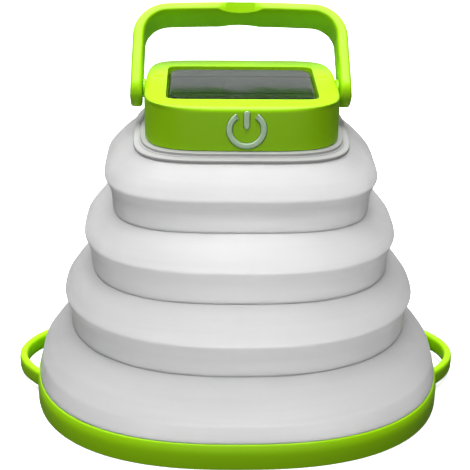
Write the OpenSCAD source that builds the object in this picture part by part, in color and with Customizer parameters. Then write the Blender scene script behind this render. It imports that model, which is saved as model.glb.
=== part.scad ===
// Folding lantern: a solar head on a pleated silicone shade that telescopes into its base ring.
// Origin at the centre of the base's underside, +Z up, the power key faces -Y.

/* [Base] */
// Width of the base ring, left to right
base_w = 129; // [107:1:155]
// Depth of the base ring, front to back
base_d = 105; // [86:1:126]
// Squareness of the base outline, 2 is an ellipse
base_n = 2.46; // [2:0.02:3]
// Height of the base ring
ring_h = 8.4; // [7:0.1:10.1]
// Wall of the base ring
ring_wall = 2.5; // [2:0.1:3]
// Thickness of the ring's inner flange
flange_t = 2.0; // [1.7:0.1:2.4]
// How far each side loop reaches beyond the ring
loop_reach = 7; // [5.8:0.1:8.4]
// Length of each side loop along the ring
loop_len = 34; // [28:0.5:41]
// Thickness of the loop's strap
loop_t = 2.6; // [2.1:0.1:3.2]
// Height of the loop's strap
loop_h = 5.5; // [4.5:0.1:6.6]
// Number of screws under the base
base_screw_count = 8; // [4:1:8]

/* [Shade] */
// Wall of the silicone shade
shade_wall = 1.5; // [1.2:0.1:1.8]
// Height of each stiff tier
tier_h = 11.1; // [9.2:0.1:13.4]
// How far a tier's foot sits inside its ridge
tier_undercut = 1.7; // [1.4:0.1:2.1]
// Rise from the ring to the lowest ridge
skirt_rise = 5.8; // [4.8:0.1:7]
// Rise from the lowest ridge to the second
rise_3 = 22.6; // [18.8:0.1:27]
// Rise from the second ridge to the third
rise_2 = 20.9; // [17.4:0.1:25]
// Rise from the third ridge to the top one
rise_1 = 19.9; // [16.6:0.1:24]
// Rise from the top ridge to the neck
neck_rise = 8.1; // [6.8:0.1:9.8]

/* [Head] */
// Width of the head
head_w = 57; // [48:1:68]
// Depth of the head
head_d = 47; // [40:1:56]
// Height of the green head shell
head_h = 13; // [12.5:0.1:15.6]
// Squareness of the head outline
head_n = 4.2; // [3:0.1:6]
// Wall of the head shell
head_wall = 1.8; // [1.5:0.1:2.1]
// Radius of the head's top edge
head_round = 2.0; // [1:0.1:2.4]
// Height of the white neck collar
collar_h = 2.8; // [2.4:0.1:3.4]
// Width of the green rim on each side of the solar panel
rim_side = 6.5; // [6.5:0.1:7.8]
// Width of the green rim in front of and behind the solar panel
rim_front = 7.6; // [7.6:0.1:9]
// How deep the solar panel's pocket is sunk
pocket_depth = 3.7; // [3.4:0.1:4.4]
// Thickness of the clear cover over the solar cells
cover_t = 1.8; // [1.5:0.1:1.8]

/* [Handle] */
// Gap between each leg of the handle and the head
leg_gap = 1.0; // [0.9:0.1:1.2]
// Reach from the pivot axis to the top of the handle
handle_reach = 27.2; // [25.3:0.1:32.7]
// Width of the handle's strap
strap_w = 11; // [9.2:0.1:13.2]
// Thickness of the strap in the grip
strap_t = 3.2; // [2.6:0.1:3.8]
// Thickness of the strap in the legs
leg_t = 3.6; // [3:0.1:4.3]
// Outer corner radius of the handle
handle_corner = 11; // [9:0.5:13]
// How deep the strap narrows on each side of the grip
waist_depth = 1.9; // [1:0.1:2.4]
// Length of the narrowed grip
waist_len = 15.4; // [12:0.2:18]
// How far the grip's hollows tilt towards its inside
waist_tilt = 25; // [0:5:35]
// How far the handle leans back where it rests
handle_lean = 46; // [20:0.5:60]
// Radius of the handle's pivot studs
stud_r = 1.8; // [1.5:0.1:1.9]

/* [Power key] */
// Outer radius of the power symbol
key_r = 5.7; // [4.8:0.1:5.8]
// Width of the symbol's strokes
key_stroke = 1.65; // [1.35:0.05:1.9]
// How far the key travels
key_travel = 0.5; // [0.4:0.05:0.6]
// How far the symbol stands proud of the shell
key_proud = 0.3; // [0.2:0.05:0.4]
// Clearance around the symbol in its slots
key_clear = 0.15; // [0.1:0.01:0.2]

/* [Electronics] */
// Thickness of the circuit boards
board_t = 1.2; // [1:0.1:1.4]
// Thickness of the battery pouch
battery_t = 7; // [5.8:0.1:8.4]
// Depth of the tub under the head
tub_depth = 12.7; // [11.5:0.1:14]
// Radius of the insulated leads
lead_r = 0.55; // [0.45:0.05:0.66]

/* [Hidden] */
$fn = 48;
PLAN_POINTS = 72;
LEAD_SIDES = 8;
seam = 0.1;
slip = 0.1;
fit = 0.05;
eps = 0.02;
sink = 0.5;
over = 1;

GREEN = "yellowgreen";
FROST = "whitesmoke";
WHITE = "white";
CELL = "darkslategray";
BOARD = "seagreen";
STEEL = "silver";
GREY = "lightgray";
BLACK = "dimgray";

base_a = base_w / 2;
base_b = base_d / 2;
ring_in = ring_wall;
flange_w = 9;
flange_in = ring_wall + flange_w;
skirt_in = ring_in + slip;
pan_in = skirt_in + shade_wall + slip;
pan_rim = 1.4;
pan_floor = 1.4;
pan_z = flange_t;
pan_top = pan_z + pan_floor;
pan_drop = 1;
boss_in = ring_in + 4.4;
boss_r = 2.1;
boss_top = pan_top + 2.6;
base_screw_r = 1.15;
base_head_r = 2.6;
base_head_h = 1.1;
loop_y = 4;
loop_drop = 0.4;
loop_root = 4;
ring_draft = 0.7;
ring_edge = 0.3;
ring_edge_h = 0.8;
ring_shoulder_h = 2.4;
rim_inset = 2.1;
rim_inset_y = 2.0;

head_a = head_w / 2;
head_b = head_d / 2;
neck_flare = 3.3;
neck_flare_y = 3.0;
neck_a = head_a + neck_flare;
neck_b = head_b + neck_flare_y;

ridge_share = [0.275, 0.507, 0.74, 1];
ridge_n = [3.5, 2.75, 2.36, 2.32];
ridge_z4 = ring_h + skirt_rise;
ridge_z3 = ridge_z4 + rise_3;
ridge_z2 = ridge_z3 + rise_2;
ridge_z1 = ridge_z2 + rise_1;
ridge_z = [ridge_z1, ridge_z2, ridge_z3, ridge_z4];
ridge_a = [for (s = ridge_share) neck_a + s * (base_a - rim_inset - neck_a)];
ridge_b = [for (s = ridge_share) neck_b + s * (base_b - rim_inset_y - neck_b)];
lip_in = 0.9;
lip_z = 1.1;
tuck_z = 4.5;
tuck_in = 1.3;

neck_z = ridge_z1 + neck_rise;
head_z = neck_z + collar_h;
top_z = head_z + head_h;
top_wall = 1.5;
ceiling_z = top_z - top_wall;
cavity_a = head_a - head_wall;
cavity_b = head_b - head_wall;
pocket_w = head_w - 2 * rim_side;
pocket_d = head_d - 2 * rim_front;
pocket_floor = 1.3;
pocket_wall = 1.4;
pocket_r = 1.8;
pocket_z = top_z - pocket_depth;
mark_x = pocket_w / 2 + 2.6;
mark_w = 3.6;
mark_d = 3.2;
mark_depth = 0.25;
solar_lead_x = pocket_w / 2 - 8;
solar_lead_y = 8;

tub_flange_t = 1.5;
tub_wall = 1.5;
tub_a = head_a - 5.5;
tub_b = head_b - 8.5;
tub_n = 5;
tub_z = neck_z - tub_depth;
tub_flange_in = head_wall + 0.2;
post_r = 1.9;
post_x = tub_a - tub_wall - 2.2;
head_screw_x = head_a - 9.5;
head_screw_y = head_b - 5.7;
head_boss_r = 2.4;
head_screw_r = 1.1;
head_screw_head_r = 1.9;
head_screw_head_h = 1.3;
board_screw_r = 0.9;
led_lead_y = 6;
led_lead_hole_r = 1.6;

control_z = head_z + 1;
control_top = control_z + board_t;
tab_w = 2 * min(12, head_screw_x - head_boss_r - 0.6);
chip_h = 1.1;
switch_w = 6;
switch_h = 4;
usb_w = 7.5;
usb_h = 2.6;
port_clear = 0.85;
port_gap = 0.1;
port_t = 1.4;
port_w = 14;
port_h = 5.8;
port_z = head_z + 0.8;
port_nub_w = usb_w - 0.6;
usb_wall = 0.4;
usb_l = 5.4;

key_x = 0.9;
key_z = head_z + 6.4;
key_end_angle = 33;
key_plate_t = 1.1;
key_plate_margin = 1.2;
key_plate_y = -cavity_b + slip;
key_back_y = key_plate_y + key_plate_t;
key_front_y = -head_b - key_proud;
key_mid_r = key_r - key_stroke / 2;
key_bar_low = 0.3 + key_stroke / 2;
key_bar_high = key_r - key_stroke / 2 - 0.2;
stem_y = key_back_y + key_travel + slip;

pivot_y = 4.5;
pivot_z = top_z - 3.5;
handle_w = head_w + 2 * (leg_gap + leg_t);
handle_crown = 0.5;
handle_draw = 0.5;
handle_foot = strap_w / 2;
waist_r = (waist_len * waist_len / 4 + waist_depth * waist_depth) / (2 * waist_depth);
leg_in = handle_w / 2 - leg_t;
leg_rise = handle_reach - handle_crown - handle_corner + handle_foot;
stud_end = head_a - 3.2;
washer_r = 2.8;
leg_lean_in = handle_draw * (handle_foot + washer_r) / leg_rise;
washer_t = leg_in - leg_lean_in - head_a - 2 * slip;

led_z = tub_z - board_t - 0.4;
led_h = 0.8;
led_a = tub_a - 3.5;
led_b = tub_b - 3.5;
diffuser_wall = 1.2;
diffuser_h = 4.4;

battery_l = 2 * (post_x - post_r - 0.4);
battery_w = 2 * (tub_b - tub_wall - 1.5);
battery_z = tub_z + tub_wall + 4.5;

cell_count = 8;
cell_gap = 0.5;
cell_margin = 1.6;
cell_t = 0.3;
cell_w = (pocket_w - 2 * cell_margin + cell_gap) / cell_count - cell_gap;
cell_z = pocket_z + board_t;
busbar_w = 0.8;
busbar_t = 0.08;
cover_gap = 0.4;
cover_edge = 0.7;
cover_crown = 0.4;

// Points of a rounded plan: half width a, half depth b, squareness n.
function plan(a, b, n) = [for (i = [0:PLAN_POINTS - 1])
    let (t = 360 * i / PLAN_POINTS)
    let (r = pow(pow(abs(cos(t)) / a, n) + pow(abs(sin(t)) / b, n), -1 / n))
    [r * cos(t), r * sin(t)]];

// Distance from the centre to a rounded plan in the direction t.
function reach(a, b, n, t) = pow(pow(abs(cos(t)) / a, n) + pow(abs(sin(t)) / b, n), -1 / n);

// Points of a rectangle with round corners of radius r.
function round_rect(a, b, r) = [for (q = [0:3]) for (s = [0:6])
    let (t = 90 * q + 15 * s)
    [(q == 0 || q == 3 ? a - r : r - a) + r * cos(t),
     (q < 2 ? b - r : r - b) + r * sin(t)]];

function unit(v) = v / norm(v);

// A ring is [half width, half depth, squareness, height].
function ring_points(rings) = [for (r = rings) for (p = plan(r[0], r[1], r[2])) [p[0], p[1], r[3]]];

function wall_faces(count, closed) = [for (i = [0:count - (closed ? 1 : 2)])
    for (j = [0:PLAN_POINTS - 1])
    let (k = (i + 1) % count, m = (j + 1) % PLAN_POINTS)
    let (p = i * PLAN_POINTS, q = k * PLAN_POINTS)
    for (f = [[p + j, q + j, q + m], [p + j, q + m, p + m]]) f];

module prism(a, b, n, low, high) {
    translate([0, 0, low])
        linear_extrude(high - low)
            polygon(plan(a, b, n));
}

module block(a, b, r, low, high) {
    translate([0, 0, low])
        linear_extrude(high - low)
            polygon(round_rect(a, b, r));
}

// Solid through a stack of rings, closed by a flat face at each end.
module loft(rings) {
    count = len(rings);
    last = (count - 1) * PLAN_POINTS;
    polyhedron(ring_points(rings), concat(
        wall_faces(count, false),
        [[for (j = [0:PLAN_POINTS - 1]) j]],
        [[for (j = [PLAN_POINTS - 1:-1:0]) last + j]]));
}

// Tube wall whose profile runs up the outside and down the inside.
module shell(outer, thick) {
    inner = [for (i = [len(outer) - 1:-1:0])
        [outer[i][0] - thick, outer[i][1] - thick, outer[i][2], outer[i][3]]];
    rings = concat(outer, inner);
    polyhedron(ring_points(rings), wall_faces(len(rings), true));
}

// Insulated lead swept along a list of points.
module lead(points) {
    last = len(points) - 1;
    along = [for (i = [0:last])
        unit(points[min(i + 1, last)] - points[max(i - 1, 0)])];
    side = [for (t = along) unit(cross(t, [0.31, 0.93, 0.17]))];
    rings = [for (i = [0:last]) for (j = [0:LEAD_SIDES - 1])
        let (u = 360 * j / LEAD_SIDES)
        points[i] + lead_r * (cos(u) * side[i] + sin(u) * cross(along[i], side[i]))];
    walls = [for (i = [0:last - 1]) for (j = [0:LEAD_SIDES - 1])
        let (m = (j + 1) % LEAD_SIDES, p = i * LEAD_SIDES, q = p + LEAD_SIDES)
        for (f = [[p + j, q + j, q + m], [p + j, q + m, p + m]]) f];
    polyhedron(rings, concat(walls,
        [[for (j = [0:LEAD_SIDES - 1]) j]],
        [[for (j = [LEAD_SIDES - 1:-1:0]) last * LEAD_SIDES + j]]));
}

// Four places, one in each quarter.
module corners(x, y) {
    for (sx = [-1, 1])
        for (sy = [-1, 1])
            translate([sx * x, sy * y, 0])
                children();
}

module base_screw_places() {
    for (i = [0:base_screw_count - 1]) {
        t = 360 * (i + 0.5) / base_screw_count;
        r = reach(base_a - boss_in, base_b - boss_in, base_n, t);
        translate([r * cos(t), r * sin(t), 0])
            children();
    }
}

// Plan of one side loop: a bow that starts and ends inside the ring's wall.
function bow(reach_out, half_len) = concat(
    [for (i = [0:16])
        let (t = -90 + 180 * i / 16)
        [base_a - loop_root + (reach_out + loop_root) * pow(cos(t), 2), loop_y + half_len * sin(t)]],
    [[base_a - 3 * loop_root, loop_y + half_len], [base_a - 3 * loop_root, loop_y - half_len]]);

module base_ring() {
    color(GREEN)
    difference() {
        union() {
            loft([[base_a - ring_edge, base_b - ring_edge, base_n, 0],
                  [base_a, base_b, base_n, ring_edge_h],
                  [base_a, base_b, base_n, ring_h - ring_shoulder_h],
                  [base_a - ring_draft, base_b - ring_draft, base_n, ring_h]]);
            for (side = [0, 1])
                mirror([side, 0, 0])
                    translate([0, 0, ring_h - loop_drop - loop_h])
                        linear_extrude(loop_h)
                            difference() {
                                polygon(bow(loop_reach, loop_len / 2));
                                polygon(bow(loop_reach - loop_t, loop_len / 2 - loop_t));
                            }
        }
        prism(base_a - ring_in, base_b - ring_in, base_n, flange_t, ring_h + over);
        prism(base_a - flange_in, base_b - flange_in, base_n, -over, flange_t + over);
        base_screw_places() {
            translate([0, 0, -over])
                cylinder(r = base_screw_r + 0.35, h = flange_t + 2 * over);
            translate([0, 0, -over])
                cylinder(r = base_head_r + 0.2, h = base_head_h + over);
        }
    }
}

module base_pan() {
    color(WHITE)
    difference() {
        union() {
            difference() {
                prism(base_a - pan_in, base_b - pan_in, base_n, pan_z, ring_h - pan_drop);
                prism(base_a - pan_in - pan_rim, base_b - pan_in - pan_rim, base_n, pan_top, ring_h);
            }
            base_screw_places()
                translate([0, 0, pan_z + sink])
                    cylinder(r = boss_r, h = boss_top - pan_z - sink);
        }
        base_screw_places()
            translate([0, 0, pan_z - over])
                cylinder(r = base_screw_r + fit, h = boss_top - pan_z + over - 0.4);
    }
}

module base_screws() {
    color(STEEL)
    base_screw_places()
        difference() {
            union() {
                translate([0, 0, slip])
                    cylinder(r = base_head_r, h = base_head_h - slip);
                translate([0, 0, sink])
                    cylinder(r = base_screw_r, h = boss_top - sink - 0.6);
            }
            cross_recess(slip, 1.6);
        }
}

// Cross recess cut upwards into a screw head whose face is at z.
module cross_recess(z, size) {
    for (turn = [0, 90])
        rotate([0, 0, turn])
            translate([-size, -0.25, z - over])
                cube([2 * size, 0.5, over + 0.6]);
}

// Stiff tier k of the shade, 0 at the top: foot, tuck under the ridge, ridge and lip.
function tier_rings(k) = let (a = ridge_a[k], b = ridge_b[k], n = ridge_n[k], z = ridge_z[k])
    [[a - tier_undercut, b - tier_undercut, n, z - tier_h],
     [a - tuck_in, b - tuck_in, n, z - tuck_z],
     [a, b, n, z],
     [a - lip_in, b - lip_in, n, z + lip_z]];

// Fold between the lip of tier k and the foot of the tier above it, or the neck.
function fold_rings(k) = let (lip = tier_rings(k)[3])
    let (foot = k > 0 ? tier_rings(k - 1)[0] : [neck_a, neck_b, head_n, neck_z])
    [[lip[0], lip[1], lip[2], lip[3] + seam],
     [foot[0], foot[1], foot[2], foot[3] - seam]];

module tier(k) {
    color(FROST)
    shell(tier_rings(k), shade_wall);
}

module fold(k) {
    color(FROST)
    shell(fold_rings(k), shade_wall + 0.1);
}

module shade_tier_1() {
    tier(0);
}

module shade_tier_2() {
    tier(1);
}

module shade_tier_3() {
    tier(2);
}

// The lowest tier carries on down as a skirt that the pan's rim clamps in the ring.
module shade_tier_4() {
    a = ridge_a[3];
    b = ridge_b[3];
    skirt_a = base_a - skirt_in;
    skirt_b = base_b - skirt_in;
    seat_a = base_a - ring_draft - 0.1;
    seat_b = base_b - ring_draft - 0.1;
    color(FROST)
    difference() {
        loft([[skirt_a, skirt_b, base_n, flange_t + slip],
              [skirt_a, skirt_b, base_n, ring_h],
              [seat_a, seat_b, base_n, ring_h + eps],
              [(seat_a + a) / 2, (seat_b + b) / 2, base_n, ring_h + skirt_rise / 2],
              [a, b, ridge_n[3], ridge_z4],
              [a - lip_in, b - lip_in, ridge_n[3], ridge_z4 + lip_z]]);
        loft([[skirt_a - shade_wall, skirt_b - shade_wall, base_n, flange_t - over],
              [skirt_a - shade_wall, skirt_b - shade_wall, base_n, ring_h],
              [a - shade_wall, b - shade_wall, ridge_n[3], ridge_z4],
              [a - lip_in - shade_wall, b - lip_in - shade_wall, ridge_n[3], ridge_z4 + lip_z + over]]);
    }
}

module shade_fold_1() {
    fold(0);
}

module shade_fold_2() {
    fold(1);
}

module shade_fold_3() {
    fold(2);
}

module shade_fold_4() {
    fold(3);
}

module shade_collar() {
    lip = 1.2;
    groove = 2.6;
    upper_lip = 1.3;
    color(WHITE)
    difference() {
        union() {
            prism(neck_a + slip, neck_b + slip, head_n, neck_z, neck_z + lip);
            prism(neck_a - groove, neck_b - groove, head_n, neck_z + sink, head_z - sink);
            prism(head_a + upper_lip, head_b + upper_lip, head_n, head_z - lip, head_z);
        }
        prism(head_a - tub_flange_in + fit, head_b - tub_flange_in + fit, head_n,
              neck_z - over, head_z + over);
    }
}

module neck_clamp() {
    depth = 1.5;
    color(WHITE)
    difference() {
        prism(neck_a - shade_wall - 0.3, neck_b - shade_wall - 0.3, head_n, neck_z - depth, neck_z);
        prism(head_a - 0.9, head_b - 0.9, head_n, neck_z - depth - over, neck_z + over);
    }
}

// Power symbol, standing in front of the plane y, grown by gap.
module power_symbol(y, depth, gap) {
    translate([key_x, y, key_z])
        rotate([90, 0, 0]) {
            difference() {
                cylinder(r = key_r + gap, h = depth);
                translate([0, 0, -over])
                    cylinder(r = key_r - key_stroke - gap, h = depth + 2 * over);
                translate([0, 0, -over])
                    linear_extrude(depth + 2 * over)
                        polygon([[0, 0],
                                 [-2 * key_r * sin(key_end_angle), 2 * key_r * cos(key_end_angle)],
                                 [2 * key_r * sin(key_end_angle), 2 * key_r * cos(key_end_angle)]]);
            }
            for (side = [-1, 1])
                translate([side * key_mid_r * sin(key_end_angle), key_mid_r * cos(key_end_angle), 0])
                    cylinder(r = key_stroke / 2 + gap, h = depth);
            for (end = [key_bar_low, key_bar_high])
                translate([0, end, 0])
                    cylinder(r = key_stroke / 2 + gap, h = depth);
            translate([-key_stroke / 2 - gap, key_bar_low, 0])
                cube([key_stroke + 2 * gap, key_bar_high - key_bar_low, depth]);
        }
}

module head_shell() {
    edge = [for (t = [0:22.5:90])
        [head_a - head_round * (1 - cos(t)), head_b - head_round * (1 - cos(t)), head_n,
         top_z - head_round + head_round * sin(t)]];
    color(GREEN)
    difference() {
        union() {
            difference() {
                loft(concat([[head_a, head_b, head_n, head_z]], edge));
                prism(cavity_a, cavity_b, head_n, head_z - over, ceiling_z);
            }
            block(pocket_w / 2 + pocket_wall, pocket_d / 2 + pocket_wall, pocket_r + pocket_wall,
                  pocket_z - pocket_floor, ceiling_z + sink);
            corners(head_screw_x, head_screw_y)
                translate([0, 0, head_z])
                    cylinder(r = head_boss_r, h = ceiling_z - head_z + sink);
        }
        block(pocket_w / 2, pocket_d / 2, pocket_r, pocket_z, top_z + over);
        for (side = [-1, 1])
            translate([side * mark_x, pivot_y, 0])
                block(mark_w / 2, mark_d / 2, 0.5, top_z - mark_depth, top_z + over);
        translate([solar_lead_x, solar_lead_y, pocket_z - pocket_floor - over])
            cylinder(r = 2, h = pocket_floor + 2 * over);
        corners(head_screw_x, head_screw_y)
            translate([0, 0, head_z - over])
                cylinder(r = head_screw_r + fit, h = over + 7);
        power_symbol(-head_b + head_wall + key_travel + 0.4, head_wall + key_travel + 3, key_clear);
        for (side = [-1, 1])
            translate([side * (head_a - head_wall - over), pivot_y, pivot_z])
                rotate([0, side * 90, 0])
                    cylinder(r = stud_r + fit, h = head_wall + 3 * over);
        translate([-usb_w / 2 - port_clear, head_b - head_wall - over, control_top - usb_wall])
            cube([usb_w + 2 * port_clear, head_wall + 3 * over, usb_h + 2 * usb_wall]);
    }
}

module head_tub() {
    color(WHITE)
    difference() {
        union() {
            difference() {
                union() {
                    prism(head_a - tub_flange_in, head_b - tub_flange_in, head_n,
                          head_z - tub_flange_t, head_z);
                    prism(tub_a, tub_b, tub_n, tub_z, head_z - sink);
                }
                prism(tub_a - tub_wall, tub_b - tub_wall, tub_n, tub_z + tub_wall, head_z + over);
            }
            for (side = [-1, 1])
                translate([side * post_x, 0, tub_z + sink])
                    cylinder(r = post_r, h = control_z - tub_z - sink);
        }
        corners(head_screw_x, head_screw_y)
            translate([0, 0, head_z - tub_flange_t - over])
                cylinder(r = head_screw_r + 0.2, h = tub_flange_t + 2 * over);
        for (side = [-1, 1])
            translate([side * post_x, 0, control_z - 7])
                cylinder(r = board_screw_r + fit, h = 7 + over);
        translate([-post_x, led_lead_y, tub_z - over])
            cylinder(r = led_lead_hole_r, h = tub_wall + 2 * over);
    }
}

module head_screws() {
    low = head_z - tub_flange_t - head_screw_head_h;
    color(STEEL)
    corners(head_screw_x, head_screw_y)
        difference() {
            union() {
                translate([0, 0, low])
                    cylinder(r = head_screw_head_r, h = head_screw_head_h);
                translate([0, 0, low + sink])
                    cylinder(r = head_screw_r, h = 7.6);
            }
            cross_recess(low, 1.2);
        }
}

module solar_board() {
    gap = 0.3;
    color(BOARD)
    block(pocket_w / 2 - gap, pocket_d / 2 - gap, pocket_r - gap, pocket_z, pocket_z + board_t);
}

module solar_cells() {
    color(CELL)
    for (i = [0:cell_count - 1])
        translate([-pocket_w / 2 + cell_margin + i * (cell_w + cell_gap), -pocket_d / 2 + cell_margin, cell_z])
            cube([cell_w, pocket_d - 2 * cell_margin, cell_t]);
}

module solar_busbars() {
    color(STEEL)
    for (y = [-pocket_d / 4, pocket_d / 4])
        translate([-pocket_w / 2 + cell_margin, y - busbar_w / 2, cell_z + cell_t])
            cube([pocket_w - 2 * cell_margin, busbar_w, busbar_t]);
}

module solar_cover() {
    low = cell_z + cell_t + busbar_t;
    a = pocket_w / 2 - cover_gap;
    b = pocket_d / 2 - cover_gap;
    r = pocket_r - cover_gap;
    color(CELL, 0.5)
    union() {
        block(a, b, r, low, low + cover_t - cover_crown);
        block(a - cover_edge, b - cover_edge, r, low + sink, low + cover_t);
    }
}

module power_key() {
    color(GREY)
    union() {
        power_symbol(key_plate_y + eps, key_plate_y + eps - key_front_y, 0);
        translate([key_x - key_r - key_plate_margin, key_plate_y, head_z + 0.4])
            cube([2 * (key_r + key_plate_margin), key_plate_t, ceiling_z - head_z - 0.6]);
    }
}

module key_switch() {
    body_y = stem_y + 1.4;
    color(BLACK)
    union() {
        translate([key_x - switch_w / 2, body_y, control_top])
            cube([switch_w, 3.4, switch_h]);
        translate([key_x, body_y + 0.5, control_top + switch_h / 2])
            rotate([90, 0, 0])
                cylinder(r = 1.2, h = body_y + 0.5 - stem_y);
    }
}

module control_board() {
    front_y = stem_y + 1.3;
    rear_y = head_b - 4.5;
    color(BOARD)
    difference() {
        union() {
            translate([-tub_a + 1, -tub_b + 1, control_z])
                cube([2 * tub_a - 2, 2 * tub_b - 2, board_t]);
            translate([-tab_w / 2, front_y, control_z])
                cube([tab_w, rear_y - front_y, board_t]);
        }
        for (side = [-1, 1])
            translate([side * post_x, 0, control_z - over])
                cylinder(r = board_screw_r + 0.2, h = board_t + 2 * over);
    }
}

// Each chip is [left, front, width, depth].
module board_chips() {
    color(BLACK)
    for (chip = [[-12, -6, 5, 4], [-3, -7, 4, 4], [7, -5, 6, 5], [-8, 4, 7, 7], [4, 6, 4, 3]])
        translate([chip[0], chip[1], control_top])
            cube([chip[2], chip[3], chip_h]);
}

module board_screws() {
    color(STEEL)
    for (side = [-1, 1])
        translate([side * post_x, 0, 0])
            difference() {
                union() {
                    translate([0, 0, control_top])
                        cylinder(r = 1.6, h = chip_h);
                    translate([0, 0, control_z - 5])
                        cylinder(r = board_screw_r, h = 5 + board_t + sink);
                }
                translate([0, 0, control_top + chip_h])
                    mirror([0, 0, 1])
                        cross_recess(0, 1);
            }
}

module usb_socket() {
    rear_y = head_b - head_wall - slip;
    color(STEEL)
    difference() {
        translate([-usb_w / 2, rear_y - usb_l, control_top])
            cube([usb_w, usb_l, usb_h]);
        translate([-usb_w / 2 + usb_wall, rear_y - usb_l + 2 * usb_wall, control_top + usb_wall])
            cube([usb_w - 2 * usb_wall, usb_l, usb_h - 2 * usb_wall]);
    }
}

module port_cover() {
    nub_l = 1.2;
    color(GREEN)
    union() {
        translate([-port_w / 2, head_b + port_gap, port_z])
            cube([port_w, port_t, port_h]);
        translate([-port_nub_w / 2, head_b - nub_l, control_top + 0.3])
            cube([port_nub_w, nub_l + port_gap + sink, usb_h - 0.6]);
    }
}

module battery_cell() {
    color("silver")
    translate([-battery_l / 2, -battery_w / 2, battery_z])
        cube([battery_l, battery_w, battery_t]);
}

module battery_pad() {
    color(BLACK)
    translate([-battery_l / 2 + 3, -battery_w / 2 + 3, tub_z + tub_wall])
        cube([battery_l - 6, battery_w - 6, battery_z - tub_z - tub_wall]);
}

module led_board() {
    color(WHITE)
    prism(led_a, led_b, tub_n, led_z, led_z + board_t);
}

module led_chips() {
    color("gold")
    for (x = [-12, 0, 12])
        for (y = [-5, 5])
            translate([x - 1.75, y - 1.4, led_z - led_h])
                cube([3.5, 2.8, led_h]);
}

module led_diffuser() {
    color(FROST)
    difference() {
        prism(tub_a - 0.4, tub_b - 0.4, tub_n, tub_z - diffuser_h, tub_z);
        prism(tub_a - 0.4 - diffuser_wall, tub_b - 0.4 - diffuser_wall, tub_n,
              tub_z - diffuser_h + diffuser_wall, tub_z + 1);
    }
}

module battery_leads() {
    x = battery_l / 2;
    color("crimson")
    for (y = [2.9, 4.9])
        lead([[x, y, battery_z + 4], [x + 0.7, y, battery_z + 4],
              [x + 1.4, y, battery_z + 4.6], [x + 1.6, y, battery_z + 6],
              [x + 1.6, y, control_z - 1.5], [x + 1.6, y, control_z]]);
}

module solar_leads() {
    color("crimson")
    for (side = [-0.8, 0.8])
        lead([[solar_lead_x + side, solar_lead_y, pocket_z],
              [solar_lead_x + side, solar_lead_y, pocket_z - 1.5],
              [solar_lead_x + side, solar_lead_y + 1, pocket_z - 3.5],
              [solar_lead_x + side, solar_lead_y + 1.2, control_top + 1.4],
              [solar_lead_x + side, solar_lead_y + 1.2, control_top]]);
}

module led_leads() {
    color("crimson")
    for (side = [-0.7, 0.7])
        lead([[-post_x, led_lead_y + side, control_z],
              [-post_x, led_lead_y + side, control_z - 3],
              [-post_x - 0.3, led_lead_y + side, battery_z + 3],
              [-post_x, led_lead_y + side, tub_z + 2.5],
              [-post_x, led_lead_y + side, led_z + board_t]]);
}

// Outline of the handle in its own plane: up one leg, over the grip, down the other.
// It is moved in by leg along the legs and by grip along the grip.
function bail(leg, grip) = let (a = handle_w / 2 - leg, top = handle_reach - grip,
                                r = handle_corner - leg, shoulder = top - handle_crown)
    concat(
        [[a, -handle_foot]],
        [for (i = [0:10])
            let (t = 9 * i)
            [a - handle_draw - r + r * cos(t), shoulder - r + r * sin(t)]],
        [for (i = [1:11])
            let (s = 1 - i / 6)
            [(a - handle_draw - r) * s, shoulder + handle_crown * (1 - s * s)]],
        [for (i = [0:10])
            let (t = 90 + 9 * i)
            [-(a - handle_draw - r) + r * cos(t), shoulder - r + r * sin(t)]],
        [[-a, -handle_foot]]);

module handle() {
    inside = bail(leg_t, strap_t);
    color(GREEN)
    translate([0, pivot_y, pivot_z])
        rotate([-handle_lean, 0, 0]) {
            difference() {
                translate([0, strap_w / 2, 0])
                    rotate([90, 0, 0])
                        linear_extrude(strap_w)
                            polygon(concat(bail(0, 0),
                                [for (i = [len(inside) - 1:-1:0]) inside[i]]));
                for (side = [-1, 1])
                    translate([0, side * (strap_w / 2 - waist_depth), handle_reach - strap_t])
                        rotate([-side * waist_tilt, 0, 0])
                            translate([0, side * waist_r, -strap_w])
                                cylinder(r = waist_r, h = 2 * strap_w);
                difference() {
                    translate([-handle_w, -strap_w, -2 * handle_foot])
                        cube([2 * handle_w, 2 * strap_w, 2 * handle_foot]);
                    translate([-handle_w, 0, 0])
                        rotate([0, 90, 0])
                            cylinder(r = handle_foot, h = 2 * handle_w);
                }
            }
            for (side = [-1, 1])
                translate([side * stud_end, 0, 0])
                    rotate([0, side * 90, 0])
                        cylinder(r = stud_r, h = leg_in - stud_end + over);
        }
}

module handle_washers() {
    color(GREEN)
    for (side = [-1, 1])
        translate([side * (head_a + slip), pivot_y, pivot_z])
            rotate([0, side * 90, 0])
                difference() {
                    cylinder(r = washer_r, h = washer_t);
                    translate([0, 0, -over])
                        cylinder(r = stud_r + fit, h = washer_t + 2 * over);
                }
}

base_ring();
base_pan();
base_screws();
shade_tier_4();
shade_fold_4();
shade_tier_3();
shade_fold_3();
shade_tier_2();
shade_fold_2();
shade_tier_1();
shade_fold_1();
shade_collar();
neck_clamp();
head_shell();
head_tub();
head_screws();
solar_board();
solar_cells();
solar_busbars();
solar_cover();
power_key();
key_switch();
control_board();
board_chips();
board_screws();
usb_socket();
port_cover();
battery_cell();
battery_pad();
led_board();
led_chips();
led_diffuser();
battery_leads();
solar_leads();
led_leads();
handle();
handle_washers();
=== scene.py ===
# %% [markdown]
# # A folding solar lantern
# The lantern is a lime green head with a solar panel, a handle and a power key, on a pleated shade of frosted
# silicone that telescopes into a green base ring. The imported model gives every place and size. The looks are
# built around it here: most of the visible pieces are lofts, so one Geometry Nodes tree makes them all.

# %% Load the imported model
import math

import bmesh
import bpy
from mathutils import Matrix, Vector


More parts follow.
